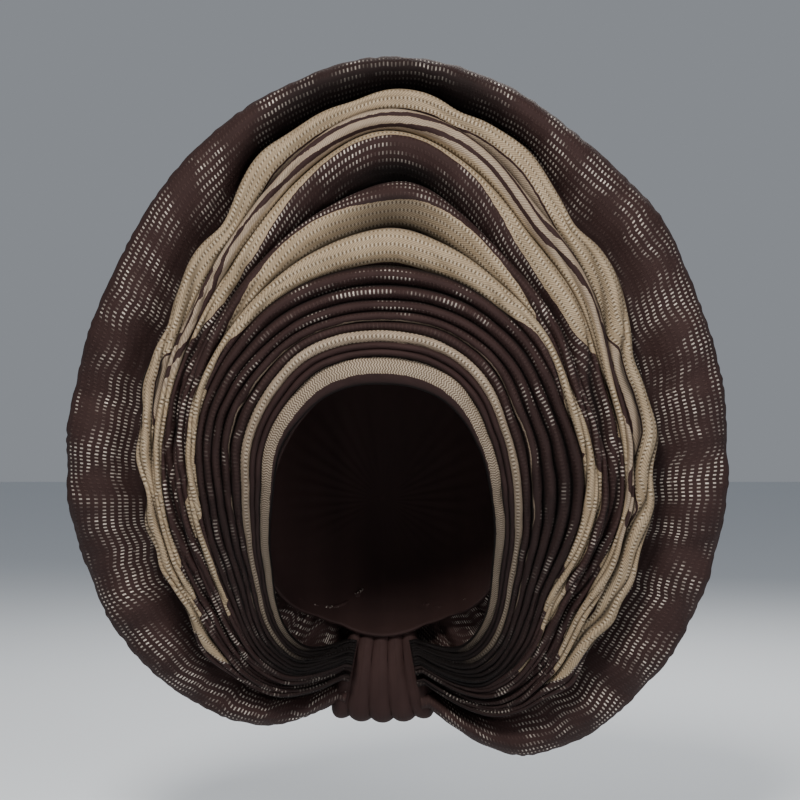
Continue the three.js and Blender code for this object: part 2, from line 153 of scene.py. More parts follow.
# The folds from the opening outwards. at: the outer border as a share of the way from hem to brim, by
# the nape and then at FOLD_ANGLES. cloth: how far from the cloth's outer selvedge the crest lies, in
# mm, as one number or by the nape and then at CLOTH_ANGLES. shape: peak, peak_at, forward, crest,
# round and leg, as in the solids. ripple: the small folds that run slantwise over it at the sides,
# their depth in mm, their number, how far its outer border wavers and how far its stripes sway, in
# mm. cavity: how much deeper it falls below its gable, and how much painted shade darkens it there.
FOLD_ANGLES = np.arange(-120, 121, 30)
CLOTH_ANGLES = np.array([-120, -90, -60, -45, -30, -15, 0, 15, 30, 45, 60, 90, 120])
FOLDS = {
    "hem_band": dict(
        at=(0.05, 0.05, 0.055, 0.07, 0.085, 0.08, 0.075, 0.05, 0.045, 0.045), cloth=325,
        shape=(0, 0, 0, 0.5, 0.6, 0.6), ripple=(0, 1, 0.2, 0), cavity=(0, 0)),
    "pleat_1": dict(
        at=(0.08, 0.07, 0.078, 0.097, 0.11, 0.097, 0.1, 0.073, 0.065, 0.068), cloth=336,
        shape=(0, 0, 0.1, 0.5, 2.2, 0.7), ripple=(0, 1, 0.3, 0), cavity=(0, 0)),
    "pleat_2": dict(
        at=(0.11, 0.09, 0.101, 0.125, 0.138, 0.12, 0.125, 0.096, 0.087, 0.09), cloth=315,
        shape=(0, 0, 0.15, 0.5, 2.2, 0.8), ripple=(0, 1, 0.3, 0), cavity=(0, 0)),
    "stripe_pleat": dict(
        at=(0.15, 0.12, 0.14, 0.17, 0.176, 0.154, 0.157, 0.126, 0.12, 0.12), cloth=304,
        shape=(0, 0, 0.2, 0.5, 1.2, 0.9), ripple=(0, 1, 0.3, 0), cavity=(0, 0)),
    "pleat_3": dict(
        at=(0.19, 0.15, 0.183, 0.22, 0.205, 0.181, 0.193, 0.166, 0.163, 0.152), cloth=283,
        shape=(0, 0, 0.25, 0.5, 2.2, 1), ripple=(0.6, 1.5, 0.9, 1), cavity=(0, 0)),
    "pleat_4": dict(
        at=(0.23, 0.185, 0.225, 0.268, 0.24, 0.21, 0.226, 0.211, 0.208, 0.19), cloth=266,
        shape=(0, 0, 0.3, 0.5, 2.2, 1), ripple=(0.6, 1.5, 0.9, 1), cavity=(0, 0)),
    "pleat_5": dict(
        at=(0.27, 0.222, 0.265, 0.312, 0.276, 0.245, 0.263, 0.258, 0.265, 0.23), cloth=249,
        shape=(0, 0, 0.35, 0.5, 2.2, 1), ripple=(0.6, 1.5, 0.9, 1), cavity=(0, 0)),
    "pleat_6": dict(
        at=(0.31, 0.26, 0.305, 0.35, 0.32, 0.289, 0.307, 0.305, 0.325, 0.27), cloth=232.4,
        shape=(0, 0, 0.35, 0.5, 2, 1), ripple=(0.6, 1.5, 0.9, 1), cavity=(0, 0)),
    "pleat_7": dict(
        at=(0.35, 0.3, 0.345, 0.39, 0.375, 0.349, 0.352, 0.355, 0.383, 0.31), cloth=221.2,
        shape=(0, 0, 0.3, 0.5, 2, 1), ripple=(0.6, 1.5, 0.9, 1), cavity=(0, 0)),
    "lower_cream_fold": dict(
        at=(0.4, 0.345, 0.388, 0.432, 0.43, 0.453, 0.42, 0.4, 0.435, 0.352),
        cloth=(220, 212, 206, 206, 210, 203, 199, 199, 199, 204, 210, 207, 204, 208),
        shape=(0.012, 4, 0.3, 0.6, 1.1, 1), ripple=(1.4, 2, 0.6, 2.5), cavity=(0.2, 0)),
    "middle_fold": dict(
        at=(0.46, 0.405, 0.445, 0.487, 0.51, 0.583, 0.495, 0.44, 0.485, 0.415),
        cloth=(136, 142, 147, 142, 147, 153, 157, 151, 155, 152, 142, 142, 148, 149),
        shape=(0.033, 6, 0.2, 0.62, 1.1, 1), ripple=(1.9, 2, 0.8, 3), cavity=(0.3, 0.62)),
    "dark_peak_fold": dict(
        at=(0.53, 0.475, 0.52, 0.545, 0.6, 0.765, 0.62, 0.535, 0.557, 0.483),
        cloth=(128, 118, 120, 112, 103, 100, 106, 110, 108, 99, 100, 110, 113, 110),
        shape=(0.01, 1, -0.2, 0.78, 1.1, 1), ripple=(2.0, 2, 1.0, 3), cavity=(1.2, 1)),
    "inner_stripe_fold": dict(
        at=(0.57, 0.525, 0.555, 0.595, 0.655, 0.835, 0.7, 0.58, 0.59, 0.535),
        cloth=(124, 106, 92, 83, 73, 80, 76, 73, 78, 75, 80, 84, 80, 92),
        shape=(0, 0, 0.1, 0.55, 1, 0.9), ripple=(2.0, 2, 1.5, 2.5), cavity=(0, 0)),
    "outer_stripe_fold": dict(
        at=(0.62, 0.57, 0.59, 0.675, 0.745, 0.9, 0.79, 0.69, 0.665, 0.63),
        cloth=(24, 50, 50, 59, 50, 48, 56, 56, 58, 57, 50, 58, 55, 50),
        shape=(0, 0, 0.2, 0.65, 1, 0.8), ripple=(2.0, 2, 1.0, 3), cavity=(0, 0)),
}
NAMES = list(FOLDS)
OUTERMOST = len(NAMES) - 1
BROAD_FOLDS = NAMES[NAMES.index("lower_cream_fold"):]
GLEAMING_PLEATS = {"pleat_5", "pleat_6", "pleat_7"}

# Dips of the brim's edge: at, width in degrees, depth as a share of RUFFLE_DEPTH
RUFFLES = [(-137, 6, 0.7), (-118, 3, 0.3), (-104, 7, 0.8), (-84, 3.5, 0.4), (-70, 6, 0.7),
           (-47, 4, 0.25), (36, 4, 0.25), (53, 7, 0.5), (68, 3.5, 0.35), (81, 5, 0.5),
           (99, 3.5, 0.5), (110, 4, 0.6), (130, 4, 0.5), (142, 6, 0.8)]
# Bulges of the outermost fold over the brim: at, width in degrees, height in mm
SCALLOPS = [(-131, 6, 5), (-107, 4, 3), (-96, 5, 5), (-80, 5, 4), (-64, 4, 2.5), (-51, 4, -3.5),
            (-39, 4, 1.5), (-30, 4, -5), (-20, 5, 6), (-4, 4, -4), (11, 3, -3.5), (23, 5, 5),
            (35, 4, -5), (46, 5, 1.5), (60, 4, -2.5), (76, 5, 4), (92, 5, 3), (108, 5, 3.5),
            (118, 4, 4), (134, 5, 6)]
# The brim's control points. Behind the folds: the way from the crown to the valley at its root, and
# how much is left of the way back. On its face: the way from the valley to the edge, the share of
# ROLL_DEPTH by which it swells forward, and how much is left of the valley's depth.
BRIM_BACK = [(0, 1), (0.3, 0.72), (0.66, 0.36), (1, 0)]
BRIM_FACE = [(0.2, 0.25, 0.45), (0.45, 0.8, 0.1), (0.7, 1, 0), (0.9, 0.6, 0), (1, 0, 0)]

# The cloth's bands from its outer selvedge inwards: where each starts in mm, and its kind
BANDS = [
    (0, "plain"), (4, "dashes"), (38, "dots"), (62, "plain"), (64.6, "silver"), (69, "plain"),
    (71.6, "silver"), (76, "plain"), (78.6, "silver"), (82, "dots"), (106, "dashes"),
    (152, "dots"), (172, "plain"), (174.5, "silver"), (180, "plain"), (182.5, "silver"),
    (188, "dots"), (211, "few"), (267.6, "silver"), (268.8, "few"), (300, "dots"), (308.5, "plain"),
    (311, "silver"), (311.8, "plain"), (317.5, "chevrons"), (326.5, "plain"),
]
CLOTH_WIDTH = 0.345
# How much cream, how many dashes and how many of them get a painted glint, and which figure each kind
# has
KINDS = {
    "plain": (0, 0, 0), "dashes": (0, 1, 0), "few": (0, 0.88, 0), "silver": (1, 0, 0),
    "dots": (1, 0, 0.5), "chevrons": (1, 0, 1),
}
# The brim shows the outermost dashes only: its place in the cloth turns back at these two rows
BRIM_ROWS = (0.0046, 0.0368)
# The crown and the knot lie in the plain band by the inner selvedge
CROWN_BAND = 0.338
KNOT_BAND = 0.336

# How much painted shade darkens the cloth in the creases of narrow and broad folds, between the small
# folds, at the brim's root, at the nape and at the sides of the narrow folds, and in the crown
NARROW_SHADE = 0.96
BROAD_SHADE = 0.85
FURROW_SHADE = 0.85
ROOT_SHADE = 0.8
NAPE_SHADE = 0.75
SIDE_SHADE = 0.4
CROWN_SHADE = 0.2
# How much a painted gleam takes off the painted shade, and how much it then adds to the number of
# dashes with a painted glint
GLEAM = 0.5
GLEAM_LIGHT = 0.36
# At what tilt from the crest, in degrees, the painted shade begins and where it is full
BROAD_CREASE = (48, 88)
NARROW_CREASE = (20, 62)

# The cloth's colours. A ground goes from its deeper tone to its lighter one.
DARK_GROUND = ((0.019, 0.0085, 0.0075, 1), (0.042, 0.021, 0.0185, 1))
CREAM_GROUND = ((0.215, 0.152, 0.088, 1), (0.42, 0.322, 0.21, 1))
SILVER_GROUND = ((0.2, 0.148, 0.102, 1), (0.38, 0.295, 0.215, 1))
BETWEEN_THREADS = (0.010, 0.0045, 0.004, 1)
UNLIT_DASH = (0.11, 0.07, 0.058, 1)
# LIT_DASH is a painted glint, laid on the dashes in lit patches
LIT_DASH = (0.64, 0.56, 0.48, 1)
TWILL_LINE = (0.1, 0.066, 0.042, 1)
HOLE = (0.055, 0.035, 0.02, 1)
PALE_DASH = (0.74, 0.64, 0.5, 1)
# IN_THE_DARK is the colour of the painted shade
IN_THE_DARK = (0.003, 0.0015, 0.0012, 1)


def smooth(places, values):
    """A smooth curve through pairs: cubic stretches, each end's slope from its neighbours."""
    places = np.asarray(places, float)
    values = np.asarray(values, float)
    low = np.maximum(np.arange(len(places)) - 1, 0)
    high = np.minimum(np.arange(len(places)) + 1, len(places) - 1)
    slope = (values[high] - values[low]) / (places[high] - places[low])

    def read(x):
        i = np.clip(np.searchsorted(places, x, side="right") - 1, 0, len(places) - 2)
        stretch = places[i + 1] - places[i]
        t = np.clip((x - places[i]) / stretch, 0, 1)
        s = 1 - t
        ends = values[i] * (1 + 2 * t) * s * s + values[i + 1] * (3 - 2 * t) * t * t
        return ends + stretch * (slope[i] * t * s * s - slope[i + 1] * t * t * s)

    return read


def around(column, size):
    """A length round the opening: a column of AROUND read at an angle, times a size."""
    read = smooth(AROUND[:, 0], AROUND[:, column])
    return lambda phi: size * read(phi)


open_radius = around(1, OPENING_RADIUS)
rim_radius = around(2, BRIM_RADIUS)
hem_y = around(3, HEM_FORWARD)
rim_y = around(4, BRIM_FORWARD)
root_y = around(5, HEAD_HALF_DEPTH)


def mix(a, b, t):
    """From a to b as t goes from 0 to 1."""
    return a + (b - a) * t


def step(x, low, high):
    """0 below low, 1 above high, smooth between."""
    t = np.clip((x - low) / (high - low), 0, 1)
    return t * t * (3 - 2 * t)


def bell(phi, at, width):
    """1 at an angle, less to both sides: e to the power of minus the squared distance in widths."""
    return np.exp(-(((phi - at) / width) ** 2))


def humps(rows, phi):
    """A sum of bell curves over the angle, from rows of place, width and height."""
    return sum(height * bell(phi, at, width) for at, width, height in rows)


def at_sides(phi, start, width):
    """0 up to an angle from the top, then rising to 1 over a width."""
    return np.clip((np.abs(phi) - start) / width, 0, 1)


def noise(u, v, seed):
    """Soft noise from -1 to 1: random values on a unit grid of u and v, blended smoothly between."""
    values = np.random.default_rng(seed).uniform(-1, 1, (256, 256))
    i = np.floor(u).astype(int)
    j = np.floor(v).astype(int)
    along_u = u - i
    along_v = v - j
    along_u = along_u * along_u * (3 - 2 * along_u)
    along_v = along_v * along_v * (3 - 2 * along_v)

    def corner(right, up):
        return values[(i + right) % 256, (j + up) % 256]

    low = mix(corner(0, 0), corner(1, 0), along_u)
    high = mix(corner(0, 1), corner(1, 1), along_u)
    return mix(low, high, along_v)


def head_radius(phi, wall):
    """The hollow's radius where it is widest: half an ellipse up, a lower one down."""
    turn = np.radians(phi)
    height = np.where(np.cos(turn) > 0, CROWN_HEIGHT, NAPE_DROP)
    return 1 / np.hypot(np.sin(turn) / (HEAD_HALF_WIDTH + wall), np.cos(turn) / (height + wall))


def head_radius_at(phi, y, wall):
    """The hollow's radius at a depth: the widest one times the root of 1 minus the share squared."""
    share = y / (HEAD_HALF_DEPTH + wall)
    return head_radius(phi, wall) * np.sqrt(np.maximum(1 - share * share, 0))


def crown_edge_y(phi):
    """The depth of the crown's open edge: a setback behind the hem, and never far back."""
    return np.minimum(hem_y(phi) + CROWN_SETBACK, CROWN_LOW_Y)


def crown_limit(phi, r):
    """How far back a fold may reach at a radius before it meets the crown."""
    edge = crown_edge_y(phi)
    at_edge = head_radius_at(phi, edge, CROWN_WALL)
    widest = head_radius(phi, CROWN_WALL)
    share = np.minimum(r / widest, 1)
    slope = -(HEAD_HALF_DEPTH + CROWN_WALL) * np.sqrt(1 - share * share) - SEAT_GAP
    on_slope = (edge < 0) & (r > at_edge) & (r < widest + SEAT_GAP)
    in_front = np.where(r < at_edge + SEAT_GAP, edge - SEAT_GAP, 1.0)
    return np.where(on_slope, slope, in_front)


def along_fold(values, phi, angles):
    """A fold's row read at angles: its nape's value at both ends, then one at each given angle."""
    if np.isscalar(values):
        return np.full_like(phi, values)
    nape, *rest = values
    angles = [-END_ANGLE, -150, *angles, 150, END_ANGLE]
    return smooth(angles, [nape, nape, *rest, nape, nape])(phi)


def border(index, phi):
    """The outer border of a fold: a share of the way from the hem to the brim's edge."""
    if index < 0:
        return open_radius(phi)
    row = FOLDS[NAMES[index]]
    peak, peak_at = row["shape"][:2]
    share = along_fold(row["at"], phi, FOLD_ANGLES) + humps([(peak_at, PEAK_WIDTH, peak)], phi)
    seeds = np.full_like(phi, index + 0.5)
    waver = BORDER_WAVER * noise(phi / 9 + 40, seeds, 7)
    side_waver = row["ripple"][2] / 1000 * at_sides(phi, *WAVER_SIDES)
    waver = waver + side_waver * noise(phi / 7 + 90, seeds, 3)
    if index == OUTERMOST:
        waver = waver + humps(SCALLOPS, phi) / 1000
    return mix(open_radius(phi), rim_radius(phi), share) + waver


def place(phi, r, y):
    """Points from angles in degrees, radii and depths, tilted so that the front rises."""
    turn = np.radians(phi)
    x = r * np.sin(turn) - FRONT_ASIDE * y
    return np.stack([x, y, r * np.cos(turn) - CROWN_HEIGHT - FRONT_RISE * y], -1)


def brim_line(phi):
    """The brim's front at each angle, from the crown to its edge: control radii and depths."""
    back = root_y(phi)
    start = head_radius_at(phi, back, CROWN_WALL) + SEAT_GAP
    valley = border(OUTERMOST, phi) + VALLEY_OUT
    drop = VALLEY_DEPTH * (1 - 0.7 * at_sides(phi, *VALLEY_SIDES))
    dip = humps(RUFFLES, phi) * RUFFLE_DEPTH
    radii = [mix(start, valley, along) for along, _ in BRIM_BACK]
    depths = [mix(rim_y(phi) + drop, back, share) for _, share in BRIM_BACK]
    for along, swell, rest in BRIM_FACE:
        radii.append(mix(valley, rim_radius(phi), along))
        depths.append(rim_y(phi) + rest * drop - swell * ROLL_DEPTH + dip * along)
    return np.stack(radii, -1), np.stack(depths, -1)


def brim_limit(phi, r):
    """How far back a fold may reach at a radius before it meets the brim."""
    radii, depths = brim_line(phi)
    last = len(BRIM_BACK) - 1
    found = depths[:, last]
    for i in range(last - 1, -1, -1):
        t = (r - radii[:, i]) / (radii[:, i + 1] - radii[:, i])
        found = np.where(t < 1, mix(depths[:, i], depths[:, i + 1], np.maximum(t, 0)), found)
    return found - SEAT_GAP


def lengths(points, axis):
    """Distances along the rows of a grid of points, starting at 0."""
    steps = np.linalg.norm(np.diff(points, axis=axis), axis=-1)
    start = np.zeros_like(np.take(steps, [0], axis=axis))
    return np.concatenate([start, np.cumsum(steps, axis=axis)], axis=axis)


def grid_object(name, points, cloth, shade=0.0, closed=False):
    """A mesh over a grid of points, with its place in the cloth, in metres, as its UV map.

    shade is painted shade: how far each point is darkened, from 0 to 1, or below 0 where a painted
    gleam lies. A closed grid joins its last row to its first, and has its last column drawn together
    to a point.
    """
    rows, columns = points.shape[:2]
    index = np.arange(rows * columns).reshape(rows, columns)
    flat = points.reshape(-1, 3)
    if closed:
        index = np.concatenate([index, index[:1]])
        cloth = np.concatenate([cloth, cloth[:1]])
    corners = np.stack([index[:-1, :-1], index[:-1, 1:], index[1:, 1:], index[1:, :-1]], -1)
    uv = np.stack([cloth[:-1, :-1], cloth[:-1, 1:], cloth[1:, 1:], cloth[1:, :-1]], 2)
    faces = corners.reshape(-1, 4).tolist()
    uv = uv.reshape(-1, 2)
    if closed:
        pole = len(flat)
        flat = np.concatenate([flat, points[:, -1].mean(0)[None]])
        ring = index[:, -1]
        faces += [(int(a), pole, int(b)) for a, b in zip(ring[:-1], ring[1:])]
        middle = cloth[:, -1].mean(0)
        fan = [(cloth[i, -1], middle, cloth[i + 1, -1]) for i in range(rows)]
        uv = np.concatenate([uv, np.array(fan).reshape(-1, 2)])
    mesh = bpy.data.meshes.new(name)
    mesh.from_pydata(flat, [], faces)
    layer = mesh.uv_layers.new(name="cloth")
    layer.uv.foreach_set("vector", uv.reshape(-1).astype(np.float32))
    dark = np.zeros(len(flat), np.float32)
    dark[:rows * columns] = np.broadcast_to(shade, (rows, columns)).reshape(-1)
    mesh.attributes.new("shade", "FLOAT", "POINT").data.foreach_set("value", dark)
    mesh.polygons.foreach_set("use_smooth", np.ones(len(mesh.polygons), bool))
    mesh.update()
    piece = bpy.data.objects.new(name, mesh)
    bpy.context.scene.collection.objects.link(piece)
    return piece


def finish_piece(piece, node, thickness):
    """Thickens a sheet, gives it its cloth and its slot, and hides the solid it stands for."""
    wall = piece.modifiers.new("cloth", "SOLIDIFY")
    wall.thickness = thickness
    wall.offset = -1
    wall.use_even_offset = False
    piece.data.materials.append(CLOTH_MATERIAL)
    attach(piece, "root")
    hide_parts(node)


def fold_frame(index, phi):
    """A fold's inner border, crest and outer border, its crest's depth and the ends of its legs.

    The crest lies a share of the way between the borders. Its depth goes from the hem's to the brim's
    with s, its share of the way between them, less a bulge of 4 s (1 - s) and less the fold's rise. A
    leg ends at its own depth, or where it meets the crown or the brim.
    """
    forward, crest, _, leg = FOLDS[NAMES[index]]["shape"][2:]
    inner = border(index - 1, phi) + GAP / 2
    outer = border(index, phi) - GAP / 2
    middle = mix(inner, outer, crest)
    share = (middle - open_radius(phi)) / (rim_radius(phi) - open_radius(phi))
    envelope = mix(hem_y(phi), rim_y(phi), share) - 4 * STACK_BULGE * share * (1 - share)
    crest_y = envelope - forward * FOLD_RISE
    crest_y = crest_y + CREST_WAVER * noise(phi / 11 + 7, np.full_like(phi, index * 3.1), 11)
    ends = [np.minimum.reduce([crest_y + leg * LEG_DEPTH, crown_limit(phi, r), brim_limit(phi, r)])
            for r in (inner, outer)]
    return inner, middle, outer, crest_y, ends


def ripple_phase(index, phi):
    """How far the small folds of a fold have moved across it at each angle, as a phase.

    It goes one turn further in every RIPPLE_TURN degrees, so that they run slantwise, and drifts.
    """
    slant = (2 * np.pi * np.hypot(phi, 8) / RIPPLE_TURN)[:, None] + 2.4 * index
    drift = noise(phi / 12, np.full_like(phi, index * 2.7), 5)[:, None]
    return slant + 2.2 * drift


def fold_relief(index, angle, turn, phase):
    """How far small folds, furrows and creases lie behind a fold's round.

    The small folds are a cosine of the turn, twice for each of them, plus the phase. All of it fades
    towards the borders with the cosine of the turn, the small folds with its square.
    """
    strength, count = FOLDS[NAMES[index]]["ripple"][:2]
    relief = strength / 1000 * (0.4 + 0.6 * at_sides(angle, *SIDES))
    small_folds = relief * np.cos(2 * count * turn + phase) * np.cos(turn) ** 2
    furrows = FURROW_SHARE * relief * noise(angle / 8 + index * 5, turn * 3.2 + index * 13, 25)
    creases = FINE_CREASES * noise(angle / 2.6 + 3 * turn, turn * 1.5 + index * 9, 21)
    return small_folds + (furrows + creases) * np.cos(turn)


def fold_shade(index, angle, turn, phase):
    """How much painted shade darkens each point of a fold, at most 1.

    It grows towards the borders with the tilt from the crest, in the troughs between the small
    folds, at the sides of narrow folds, in the hollow below the gable and towards the nape. The
    crests of a few pleats get a painted gleam.
    """
    name = NAMES[index]
    rounding = FOLDS[name]["shape"][4]
    tilt = np.abs(np.degrees(turn))
    if rounding < 1.5:
        shade = BROAD_SHADE * step(tilt, *BROAD_CREASE)
    else:
        gleam = GLEAM * (name in GLEAMING_PLEATS) * bell(angle, GABLE_AT, GLEAM_WIDTH)
        shade = NARROW_SHADE * step(tilt, *NARROW_CREASE) - gleam * step(-tilt, -30, 0)
    if name in BROAD_FOLDS:
        count = FOLDS[name]["ripple"][1]
        trough = 0.5 - 0.5 * np.cos(2 * count * turn + phase + 2.6)
        shade = shade + FURROW_SHADE * at_sides(angle, *SIDES) * trough ** 5
    else:
        shade = shade + SIDE_SHADE * at_sides(angle, *NARROW_SIDES)
    darkness = FOLDS[name]["cavity"][1]
    dark_from = 15 if darkness > 0.9 else -18
    inwards = -np.degrees(turn)
    below = bell(angle, GABLE_AT, CAVITY_WIDTH) * step(inwards, dark_from, dark_from + 24)
    shade = shade + darkness * below
    return np.minimum(shade + NAPE_SHADE * at_sides(angle, *NAPE), 1)


def fold_points(index):
    """A fold as a grid of angle by turn: a round crest with two legs that run straight back.

    Across it, the radius follows the sine of the turn from one border to the other. The depth falls
    from the crest by 1 minus its cosine, and in a narrow fold partly by a power of its sine, which
    makes the crease sharper. Its place in the cloth is the crest's, less the length across from it.
    """
    name = NAMES[index]
    row = FOLDS[name]
    broad = name in BROAD_FOLDS
    rounding = row["shape"][4]
    rows, half = BROAD_GRID if broad else NARROW_GRID
    phi = np.linspace(-TUCKED, TUCKED, rows)
    angle = phi[:, None]
    inner, middle, outer, crest_y, ends = fold_frame(index, phi)
    room = np.minimum(*ends) - crest_y
    depth = np.minimum(rounding * (outer - inner) / 2, 0.8 * room)[:, None]
    turn = np.radians(np.linspace(-90, 90, 2 * half + 1))[None, :]
    side = np.where(turn < 0, (middle - inner)[:, None], (outer - middle)[:, None])
    r = middle[:, None] + np.sin(turn) * side
    cavity = row["cavity"][0] * bell(angle, GABLE_AT, CAVITY_WIDTH)
    deeper = np.minimum(1 + cavity * (turn < 0), 0.95 * room[:, None] / depth)
    fall = mix(1 - np.cos(turn), np.abs(np.sin(turn)) ** 1.4, 0.15 if broad else 0.5)
    phase = ripple_phase(index, phi)
    y = crest_y[:, None] + depth * deeper * fall + fold_relief(index, angle, turn, phase)
    shade = fold_shade(index, angle, turn, phase)
    shade = np.pad(shade, ((0, 0), (LEG_COLUMNS, LEG_COLUMNS)), constant_values=1)

    legs = np.linspace(0, 1, LEG_COLUMNS + 1)[:-1]
    low_leg = mix(ends[0][:, None], y[:, :1], legs[None, :])
    high_leg = mix(y[:, -1:], ends[1][:, None], 1 - legs[::-1][None, :])
    y = np.concatenate([low_leg, y, high_leg], 1)
    low_r = np.repeat(inner[:, None], LEG_COLUMNS, 1)
    high_r = np.repeat(outer[:, None], LEG_COLUMNS, 1)
    points = place(angle, np.concatenate([low_r, r, high_r], 1), y)

    crest_at = LEG_COLUMNS + half
    across = lengths(points, 1)
    along = lengths(points[:, crest_at:crest_at + 1], 0)
    sway = row["ripple"][3] * at_sides(angle, *SIDES) * np.sin(phase)
    cloth_at = along_fold(row["cloth"], phi, CLOTH_ANGLES)[:, None] + sway
    v = cloth_at / 1000 - (across - across[:, crest_at:crest_at + 1])
    return points, np.stack([np.broadcast_to(along, v.shape), v], -1), shade


def make_fold(index):
    """One fold's sheet of cloth, in place of its solid."""
    name = NAMES[index]
    points, cloth, shade = fold_points(index)
    piece = grid_object("cloth_" + name, points, cloth, shade)
    finish_piece(piece, name, CLOTH)


def brim_points(angle):
    """The brim: smooth curves through its control points at each angle, from crown to edge.

    Waves and creases lie on its face, sine gathers run from the crown outwards and fade before the
    valley, and the edge's radius is a little frayed. It also gives the share of the way along it.
    """
    knots = np.arange(len(BRIM_BACK) + len(BRIM_FACE))
    fine = np.linspace(0, knots[-1], BRIM_GRID[1])
    lines = brim_line(angle[:, 0])
    radius, y = [np.stack([smooth(knots, row)(fine) for row in rows]) for rows in lines]
    share = (fine / knots[-1])[None, :]
    outside = np.clip((share - 0.4) / 0.6, 0, 1)
    waves = BRIM_WAVES * noise(angle / 5, share * 3, 31) * at_sides(angle, *RUFFLED_SIDES)
    creases = BRIM_CREASES * noise(angle / 1.6, share * 7, 33)
    gathered = np.sin(np.radians(angle) * 40 + 3 * noise(angle / 8, share, 8))
    gathers = BRIM_GATHERS * gathered * np.clip(1 - share / 0.45, 0, 1)
    y = y + (waves + creases) * outside + gathers
    fray = EDGE_FRAY * noise(angle / 0.9, share * 2, 35) * np.clip(share * 8 - 7, 0, 1)
    return place(angle, radius + fray, y), share


def brim_cloth(points):
    """The brim's place in the cloth: the length from its edge, turned back at BRIM_ROWS."""
    across = lengths(points, 1)
    along = lengths(points[:, -12:-11], 0)
    low, high = BRIM_ROWS
    inwards = across[:, -1:] - across
    turned = (inwards - low) % (2 * (high - low))
    v = np.where(inwards < low, inwards, low + np.minimum(turned, 2 * (high - low) - turned))
    return np.stack([np.broadcast_to(along, v.shape), v], -1)


def brim_shade(angle, share):
    """The painted shade at the brim's root: full in the valley, fading outwards, far at the top only.
    """
    valley_at = (len(BRIM_BACK) - 1) / (len(BRIM_BACK) + len(BRIM_FACE) - 1)
    from_valley = (share - valley_at) / (1 - valley_at)
    off_top = at_sides(angle, *ROOT_SIDES)
    reach = 0.98 - 0.68 * off_top
    shade = (ROOT_SHADE - 0.6 * off_top) * step(-from_valley, -reach, -0.08 - 0.37 * (1 - off_top))
    return shade * step(from_valley, -0.3, 0.0)


def make_brim():
    """The brim's sheet of cloth, in place of its solid."""
    angle = np.linspace(-TUCKED, TUCKED, BRIM_GRID[0])[:, None]
    points, share = brim_points(angle)
    piece = grid_object("cloth_brim", points, brim_cloth(points), brim_shade(angle, share))
    finish_piece(piece, "brim", BRIM_CLOTH)


def make_crown():
    """The crown: the hollow's ellipsoid from its open edge to the pole at the back.

    The turn goes from the open edge to the pole, the radius follows its sine and the depth its
    cosine. Sine gathers and soft creases swell the radius.
    """
    rows, columns = CROWN_GRID
    phi = np.linspace(-180, 180, rows + 1)[:-1]
    angle = phi[:, None]
    edge = crown_edge_y(phi) - CROWN_NAPE_FORWARD * at_sides(phi, *CROWN_NAPE)
    first = np.arccos(-edge / (HEAD_HALF_DEPTH + CROWN_WALL))
    t = np.linspace(0, 0.985, columns)[None, :]
    turn = mix(first[:, None], np.pi, t)
    gathers = CROWN_GATHERS * np.sin(np.radians(angle) * 38) * np.clip(t * 3 - 1.6, 0, 1)
    creases = CROWN_CREASES * noise(angle / 15, t * 5 + angle / 60, 41) * t
    radius = (head_radius(phi, CROWN_WALL)[:, None] + gathers + creases) * np.sin(turn)
    points = place(angle, radius, -(HEAD_HALF_DEPTH + CROWN_WALL) * np.cos(turn))
    cloth = np.stack([points[..., 0], CROWN_BAND + 0.04 * points[..., 2]], -1)
    piece = grid_object("cloth_crown", points, cloth, CROWN_SHADE, closed=True)
    finish_piece(piece, "crown", CROWN_WALL)


def make_knot():
    """The knot: a block round the nape, whose section is squared and swells with each wrap.

    The section goes round with a power of the sine and cosine of the turn. Its size follows the
    cosine of the way across, once for each wrap, and falls to nearly nothing at both ends.
    """
    def squared(x):
        return np.sign(x) * np.abs(x) ** 0.7

    edge = 180 - END_ANGLE + 1.5
    across = np.linspace(-1, 1, KNOT_GRID[0])[:, None]
    turn = np.linspace(0, 2 * np.pi, KNOT_GRID[1])[None, :]
    wraps = np.abs(np.cos(across * 2.5 * np.pi + 0.7 * np.sin(turn)))
    size = (0.9 + 0.14 * wraps ** 0.6) * np.sqrt(1 - 0.97 * across ** 20)
    middle = (KNOT_IN + KNOT_OUT) / 2
    r = middle + size * (KNOT_OUT - KNOT_IN) / 2 * squared(np.cos(turn))
    y = KNOT_FRONT + KNOT_DEPTH * (1 + size * squared(np.sin(turn))) / 2
    points = place(180 + edge * across, r, y)
    u = lengths(points, 1)
    v = KNOT_BAND + across * 0.006 * np.ones_like(turn)
    piece = grid_object("cloth_back_knot", points, np.stack([u, v], -1))
    finish_piece(piece, "back_knot", KNOT_CLOTH)


